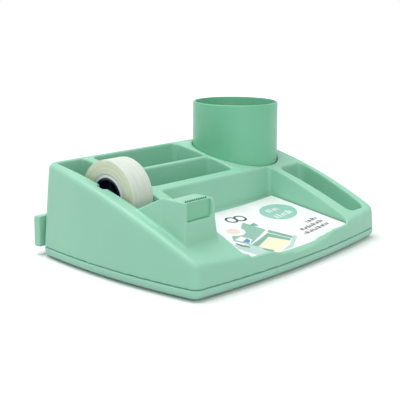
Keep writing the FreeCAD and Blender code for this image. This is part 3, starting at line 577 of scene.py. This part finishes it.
foot_rubber = soft_rubber()
foot_corners = [(0, DISH_DEPTH), (DISH_RADIUS - DISH_SLOPE, DISH_DEPTH), (DISH_RADIUS, 0),
                (FOOT_RADIUS, 0), (FOOT_RADIUS, FOOT_HEIGHT), (0, FOOT_HEIGHT)]
foot_profile = rounded(foot_corners, [0, 0.2, 0.2, 0.5, 0.1, 0], 3)
for node, (x, y) in FOOT_PLACES.items():
    foot_mesh = mesh_of(turned(foot_profile, (x, y, 0), steps=64), node)
    put(node + "_pad", foot_mesh, "body", [foot_rubber], [node])
print("feet:", len(FOOT_PLACES))

# %% [markdown]
# ## Screws
# The screws come up from below and hold the base to the body. A screw's head could be cut with a boolean,
# but a cross drawn straight into its face needs fewer steps: its rim and its deeper, smaller floor are two
# rings of points with sloping walls between them, and the rest of the face is filled in around it.

# %% Screws
SCREW_PLACES = ((-80.0, -66.0), (67.1, -50.0), (-93.5, 59.0), (93.5, 59.0))
SCREW_STEPS = 48
HEAD_LOW, CROSS_DEEP, CROSS_TIP, CROSS_SIDE, CROSS_TAPER = 1.1, 1.9, 1.7, 0.35, 0.6
FACE_RADIUS = 2.7
SHANK_LEVELS = ((3.0, 1.4), (3.0, 2.9), (1.5, 2.9), (1.5, 13.4), (0.7, 14.1))


def level_ring(form, x, y, radius, height):
    """Points of a level circle about a screw's axis."""
    ring = []
    for step in range(SCREW_STEPS):
        angle = 2 * math.pi * step / SCREW_STEPS
        spot = Vector((x + radius * math.cos(angle), y + radius * math.sin(angle), height))
        ring.append(form.verts.new(spot * MM))
    return ring


def cross_cut(form, x, y):
    """The head's face with a cross-shaped dent in it."""
    tip, side = CROSS_TIP, CROSS_SIDE
    outline = [(side, side), (side, tip), (-side, tip), (-side, side), (-tip, side), (-tip, -side),
               (-side, -side), (-side, -tip), (side, -tip), (side, -side), (tip, -side), (tip, side)]
    rim, floor = [], []
    for ring, scale, height in ((rim, 1, HEAD_LOW), (floor, CROSS_TAPER, CROSS_DEEP)):
        for px, py in outline:
            ring.append(form.verts.new(Vector((x + px * scale, y + py * scale, height)) * MM))
    for index in range(len(outline)):
        following = (index + 1) % len(outline)
        form.faces.new((rim[index], rim[following], floor[following], floor[index]))
    form.faces.new(floor)
    ring = level_ring(form, x, y, FACE_RADIUS, HEAD_LOW)
    edges = [form.edges.new((ring[index], ring[(index + 1) % SCREW_STEPS])) for index in range(SCREW_STEPS)]
    edges += [edge for edge in form.edges if edge.verts[0] in rim and edge.verts[1] in rim]
    bmesh.ops.triangle_fill(form, edges=edges, use_beauty=True)
    return ring


def screw_form():
    form = bmesh.new()
    for x, y in SCREW_PLACES:
        previous = cross_cut(form, x, y)
        for radius, height in SHANK_LEVELS:
            ring = level_ring(form, x, y, radius, height)
            for index in range(SCREW_STEPS):
                following = (index + 1) % SCREW_STEPS
                form.faces.new((previous[index], ring[index], ring[following], previous[following]))
            previous = ring
        form.faces.new(previous)
    bmesh.ops.recalc_face_normals(form, faces=form.faces)
    return form


screws = put("screws", mesh_of(screw_form(), "screws", 25), "body", [screw_steel],
             ["base_screws"])
print("screw faces:", len(screws.data.polygons))

# %% [markdown]
# ## Card
# A stiff card lies on the sloping floor of the note tray. Its middle sags onto the floor, while its sides
# curl up by two or three millimetres. Cloth simulation could bend it, but a formula for the curl is quicker
# and lets the print follow the very same shape. One function says where any share of the card lies.

# %% Where the card lies
TRAY_FRONT, TRAY_BACK = Vector((0, -73.2, 14.4)), Vector((0, -2.8, 27.0))
UP_SLOPE = (TRAY_BACK - TRAY_FRONT).normalized()
OFF_SLOPE = Vector((0, -UP_SLOPE.z, UP_SLOPE.y))
CARD_LEFT, CARD_RIGHT, CARD_BOW = -56.2, 59.8, 2.28
CARD_LOW, CARD_HIGH = 0.8, (TRAY_BACK - TRAY_FRONT).length - 3.4
CARD_WIDE = CARD_RIGHT - CARD_LEFT
CARD_GAP, CARD_THICK = 0.1, 0.5
CURL_FRONT, CURL_BACK = 3.4, 1.8


def card_spot(across, along, lift):
    """A place over the card, from shares of its width and length and a height in millimetres."""
    aside = abs(across * 2 - 1)
    low = CARD_LOW - CARD_BOW * (1 - aside ** 2)
    curl = aside ** 2.5 * (CURL_FRONT + (CURL_BACK - CURL_FRONT) * along)
    up_the_tray = UP_SLOPE * (low + (CARD_HIGH - low) * along)
    spot = TRAY_FRONT + up_the_tray + OFF_SLOPE * (CARD_GAP + lift + curl)
    return Vector((CARD_LEFT + CARD_WIDE * across, spot.y, spot.z)) * MM


print("card's middle at", [round(value / MM, 1) for value in card_spot(0.5, 0.5, 0)], "mm")

# %% [markdown]
# ## Paper and inks
# Coated card is almost white, with a faint mottle and the fine tooth of its fibres. Ink lies on it as a thin
# film that is a little glossier. One recipe gives both, and each ink is the paper's recipe in its own colour.

# %% Paper and inks
FIBRE_SCALE, PAPER_MOTTLE, INK_MOTTLE = 2400, 60, 240


def paper(name, colour, rough, mottle_scale):
    finish = Finish(name)
    fibre = finish.noise(FIBRE_SCALE, 5.0)
    mottle = finish.noise(mottle_scale, 3.0)
    tone = finish.blend(finish.spread(mottle, 0, 1), tinted(colour, -0.05), tinted(colour, 0.04))
    finish.set("Base Color", tone)
    finish.set("Roughness", finish.spread(fibre, rough - 0.05, rough + 0.06))
    finish.bump(fibre, 0.00001, 0.5)
    return finish.material


card_white = paper("card_white", eye_colour(243, 244, 244), 0.5, PAPER_MOTTLE)
INK_COLOURS = {"mint": (150, 201, 186), "slate": (66, 70, 72), "sage": (146, 188, 172),
               "fern": (122, 172, 154), "pale": (186, 214, 208), "straw": (250, 238, 204),
               "sky": (96, 140, 176), "blush": (242, 214, 208), "cream": (244, 246, 242),
               "mist": (222, 232, 229)}
inks = [paper("ink_" + name, eye_colour(*colour), 0.42, INK_MOTTLE) for name, colour in INK_COLOURS.items()]
MINT, SLATE, SAGE, FERN, PALE, STRAW, SKY, BLUSH, CREAM, MIST = range(10)
print("inks:", len(inks))

# %% [markdown]
# ## The card's sheet
# The sheet is two grids of points, one for each face, with a border that joins them. Asking the function
# for every point makes both faces follow the curl.

# %% Card
def card_form(columns=28, rows=16):
    form = bmesh.new()
    layers = []
    for lift in (0.0, CARD_THICK):
        layers.append([[form.verts.new(card_spot(column / columns, row / rows, lift))
                        for column in range(columns + 1)] for row in range(rows + 1)])
    for layer, flip in zip(layers, (True, False)):
        for row in range(rows):
            for column in range(columns):
                corners = [layer[row][column], layer[row][column + 1], layer[row + 1][column + 1],
                           layer[row + 1][column]]
                form.faces.new(corners[::-1] if flip else corners)
    border = [(row, 0) for row in range(rows)]
    border += [(rows, column) for column in range(columns)]
    border += [(row, columns) for row in range(rows, 0, -1)]
    border += [(0, column) for column in range(columns, 0, -1)]
    for index, (row, column) in enumerate(border):
        next_row, next_column = border[(index + 1) % len(border)]
        form.faces.new((layers[0][row][column], layers[0][next_row][next_column],
                        layers[1][next_row][next_column], layers[1][row][column]))
    bmesh.ops.recalc_face_normals(form, faces=form.faces)
    return form


card = put("card", mesh_of(card_form(), "card"), "card", [card_white], ["insert_card"])
print("card faces:", len(card.data.polygons))

# %% [markdown]
# ## Print
# The print is plain blocks of ink: bars where lines of words would be, an oval, rings and a few blocks like
# a drawing of trays. A picture could be wrapped on the card, but blocks stay crisp from close by. They are
# drawn flat, in shares of the card, and laid on it later, each layer of ink a hair above the one below.

# %% Blocks of ink
INK_LIFT, SECOND_LIFT, THIRD_LIFT = 0.53, 0.56, 0.58


def add_patch(form, outline, ink, lift=INK_LIFT):
    """A flat block of ink with the given outline, in shares of the card."""
    face = form.faces.new([form.verts.new((across, along, lift)) for across, along in outline])
    face.material_index = ink
    face.normal_update()
    if face.normal.z < 0:
        face.normal_flip()


def bar(form, left, low, wide, high, ink, lift=INK_LIFT):
    right, top = left + wide, low + high
    add_patch(form, [(left, low), (right, low), (right, top), (left, top)], ink, lift)


def line_of_words(form, left, low, wide, high, ink, letters, lift=INK_LIFT):
    """A row of short upright blocks of uneven width, as a line of small print looks from afar."""
    step = wide / letters
    for index in range(letters):
        share = 0.62 + 0.2 * math.sin(index * 2.7 + low * 40)
        tall = high * (0.8 + 0.2 * math.sin(index * 1.9 + low * 90))
        bar(form, left + step * index, low, step * share, tall, ink, lift)


def oval(form, middle, half_wide, half_high, ink, lift=INK_LIFT, steps=64):
    angles = [2 * math.pi * step / steps for step in range(steps)]
    outline = [(middle[0] + half_wide * math.cos(angle), middle[1] + half_high * math.sin(angle))
               for angle in angles]
    add_patch(form, outline, ink, lift)


def loop(form, middle, half_wide, half_high, thick, ink, lift=INK_LIFT, steps=40):
    """An open ring of ink."""
    for step in range(steps):
        corners = []
        for index, inner in ((step, 0), (step + 1, 0), (step + 1, 1), (step, 1)):
            angle, share = 2 * math.pi * index / steps, 1 - thick * inner
            corners.append((middle[0] + half_wide * share * math.cos(angle),
                            middle[1] + half_high * share * math.sin(angle)))
        add_patch(form, corners, ink, lift)


print("ink lies", round(INK_LIFT - CARD_THICK, 2), "mm above the card")

# %% Words, trays and small things
def draw_words(form):
    """An oval with two lines in it, and lines of words below it."""
    oval(form, (0.812, 0.665), 0.140, 0.185, MINT)
    line_of_words(form, 0.745, 0.70, 0.12, 0.08, MIST, 4, SECOND_LIFT)
    line_of_words(form, 0.725, 0.56, 0.18, 0.08, MIST, 6, SECOND_LIFT)
    line_of_words(form, 0.830, 0.295, 0.105, 0.05, SLATE, 6)
    line_of_words(form, 0.700, 0.215, 0.235, 0.05, SLATE, 13)
    line_of_words(form, 0.672, 0.135, 0.258, 0.05, SLATE, 14)
    line_of_words(form, 0.600, 0.085, 0.320, 0.018, MIST, 30)
    line_of_words(form, 0.520, 0.045, 0.400, 0.018, MIST, 38)


def draw_trays(form):
    """A deck, its front, its right side and the card in it, as a few plain blocks."""
    add_patch(form, [(0.463, 0.678), (0.501, 0.436), (0.221, 0.256), (0.168, 0.383), (0.218, 0.476),
                     (0.343, 0.554)], SAGE)
    add_patch(form, [(0.221, 0.256), (0.250, 0.184), (0.270, 0.012), (0.217, 0.012), (0.128, 0.034),
                     (0.091, 0.210), (0.121, 0.318)], PALE)
    add_patch(form, [(0.516, 0.420), (0.573, 0.191), (0.538, 0.162), (0.478, 0.384)], FERN)
    add_patch(form, [(0.470, 0.372), (0.530, 0.160), (0.501, 0.133), (0.424, 0.305), (0.247, 0.187),
                     (0.215, 0.240)], FERN)
    add_patch(form, [(0.424, 0.305), (0.501, 0.133), (0.300, 0.015), (0.247, 0.187)], STRAW)
    add_patch(form, [(0.586, 0.206), (0.599, 0.162), (0.433, 0.018), (0.320, 0.012), (0.457, 0.079)], PALE)
    add_patch(form, [(0.250, 0.150), (0.290, 0.060), (0.262, 0.020), (0.236, 0.100)], FERN, SECOND_LIFT)
    add_patch(form, [(0.453, 0.594), (0.524, 0.616), (0.513, 0.532)], FERN, SECOND_LIFT)


def draw_small_things(form):
    """Two rings of a pair of scissors, a roll with a pale ring, and a few scraps."""
    loop(form, (0.500, 0.765), 0.046, 0.068, 0.34, SLATE)
    loop(form, (0.430, 0.780), 0.046, 0.068, 0.34, SLATE)
    oval(form, (0.290, 0.565), 0.085, 0.110, BLUSH, SECOND_LIFT)
    loop(form, (0.290, 0.565), 0.085, 0.110, 0.45, CREAM, THIRD_LIFT)
    add_patch(form, [(0.190, 0.400), (0.270, 0.440), (0.300, 0.340), (0.235, 0.270)], CREAM, SECOND_LIFT)
    add_patch(form, [(0.214, 0.335), (0.281, 0.381), (0.276, 0.329), (0.235, 0.285)], SKY, THIRD_LIFT)
    add_patch(form, [(0.142, 0.325), (0.149, 0.247), (0.180, 0.201), (0.192, 0.215), (0.166, 0.258),
                     (0.158, 0.330)], SLATE, SECOND_LIFT)


# %% The print on the card
def lay_on_card(form, longest=0.03):
    """Cut the flat print into small triangles and bend it to the curl of the card."""
    bmesh.ops.triangulate(form, faces=form.faces)
    for _ in range(4):
        long_edges = [edge for edge in form.edges if edge.calc_length() > longest]
        bmesh.ops.subdivide_edges(form, edges=long_edges, cuts=1)
        bmesh.ops.triangulate(form, faces=form.faces)
    for vertex in form.verts:
        vertex.co = card_spot(*vertex.co)


def add_print():
    mesh = bpy.data.meshes.new("card_blocks")
    form = bmesh.new()
    for draw in (draw_words, draw_trays, draw_small_things):
        draw(form)
    lay_on_card(form)
    form.to_mesh(mesh)
    form.free()
    return put("card_blocks", mesh, "card", inks)


card_blocks = add_print()
print("ink blocks:", len(card_blocks.data.polygons))

# %% [markdown]
# ## Floor
# The organizer stands on a pale floor. A white one would throw much light back up onto the green, so this
# one is white only for the camera and in reflections, and a mid grey for every other ray. Away from the
# object it glows a little, so that it runs into the white room with no line between them.

# %% Floor
SEEN_RAYS = ("Is Camera Ray", "Is Glossy Ray", "Is Transmission Ray")
FLOOR_LIT, FLOOR_SHOWN = (0.70, 0.74), (0.97, 1.0)
GLOW_FROM, GLOW_TO = 0.25, 0.9


def grey(level):
    return (level, level, level, 1.0)


def pale_floor():
    finish = Finish("pale_floor")
    finish.set("Roughness", 0.9)
    finish.set("Specular IOR Level", 0.1)
    cloud = finish.noise(5, 2.0)
    path = finish.add("LightPath").outputs
    seen = path[SEEN_RAYS[0]]
    for kind in SEEN_RAYS[1:]:
        seen = finish.maths("MAXIMUM", seen, path[kind])
    lit, shown = (finish.blend(finish.spread(cloud, 0, 1), grey(low), grey(high))
                  for low, high in (FLOOR_LIT, FLOOR_SHOWN))
    finish.set("Base Color", finish.blend(seen, lit, shown))
    away = finish.add("VectorMath", Vector=finish.place())
    away.operation = "LENGTH"
    far = finish.spread(away.outputs["Value"], 0, 1, GLOW_FROM, GLOW_TO)
    finish.set("Emission Color", grey(1.0))
    finish.set("Emission Strength", finish.maths("MULTIPLY", far, seen))
    return finish.material


def add_floor():
    form = bmesh.new()
    bmesh.ops.create_grid(form, x_segments=8, y_segments=8, size=4.0)
    mesh = bpy.data.meshes.new("floor")
    form.to_mesh(mesh)
    form.free()
    floor = bpy.data.objects.new("floor", mesh)
    bpy.context.collection.objects.link(floor)
    mesh.materials.append(pale_floor())
    return floor


floor = add_floor()
print("floor:", [round(size, 1) for size in floor.dimensions], "m")

# %% [markdown]
# ## Lamps and world
# A broad lamp overhead gives the deck its brightness, a weaker one fills the front, and the world is a
# white room. Large lamps give soft shadows, as a light tent does. The room's light is weaker than it looks,
# so that the pale green isn't washed out and the walls keep their shade.

# %% Lamps
def add_lamp(name, place, target, size, power):
    lamp = bpy.data.objects.new(name, bpy.data.lights.new(name, "AREA"))
    bpy.context.collection.objects.link(lamp)
    lamp.data.shape = "DISK"
    lamp.data.size, lamp.data.energy = size, power
    lamp.location = place
    lamp.rotation_euler = (Vector(target) - Vector(place)).to_track_quat("-Z", "Y").to_euler()
    return lamp


overhead = add_lamp("overhead", (-0.25, 0.25, 1.5), (0, 0, 0.03), size=1.3, power=16)
front_fill = add_lamp("front_fill", (-0.9, -1.3, 0.7), (0, 0, 0.04), size=1.2, power=6)
print("lamps:", overhead.data.energy, "and", front_fill.data.energy, "watts")

# %% World
ROOM_LIGHT, ROOM_WHITE = 0.55, 1.0


def white_room():
    world = bpy.data.worlds.new("white_room")
    world.use_nodes = True
    bpy.context.scene.world = world
    tree = world.node_tree
    background = tree.nodes["Background"]
    background.inputs["Color"].default_value = grey(1.0)
    path = tree.nodes.new("ShaderNodeLightPath").outputs
    seen = path[SEEN_RAYS[0]]
    for kind in SEEN_RAYS[1:]:
        either = tree.nodes.new("ShaderNodeMath")
        either.operation = "MAXIMUM"
        tree.links.new(seen, either.inputs[0])
        tree.links.new(path[kind], either.inputs[1])
        seen = either.outputs[0]
    level = tree.nodes.new("ShaderNodeMapRange")
    level.inputs["To Min"].default_value, level.inputs["To Max"].default_value = ROOM_LIGHT, ROOM_WHITE
    tree.links.new(seen, level.inputs["Value"])
    tree.links.new(level.outputs["Result"], background.inputs["Strength"])


white_room()
print("room light:", ROOM_LIGHT)

# %% [markdown] ## End of the scene
